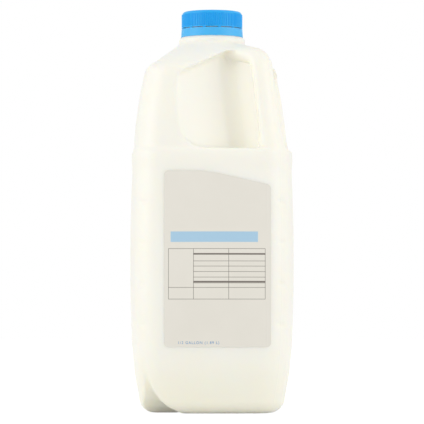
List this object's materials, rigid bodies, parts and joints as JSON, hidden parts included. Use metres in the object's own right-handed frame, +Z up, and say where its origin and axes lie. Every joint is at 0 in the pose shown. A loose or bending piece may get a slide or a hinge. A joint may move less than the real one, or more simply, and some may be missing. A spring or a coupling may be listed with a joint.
{
  "type": "plastic milk jug",
  "caption": "Square blow-moulded plastic milk jug with a corner handle, a ridged blue snap cap and a front label, shut and full.",
  "frame": {"origin": "middle of the base, on the surface the jug stands on", "axes": "+Z up, label face towards -Y, handle on the +X -Y corner"},
  "size_m": [0.1038, 0.1039, 0.2541],
  "materials": {
    "jug": "translucent milk-white, satin",
    "cap": "satin blue",
    "label": "printed film, satin"
  },
  "bodies": {
    "root": {"jug": "jug", "cap": "cap", "label": "label"}
  },
  "joints": []
}
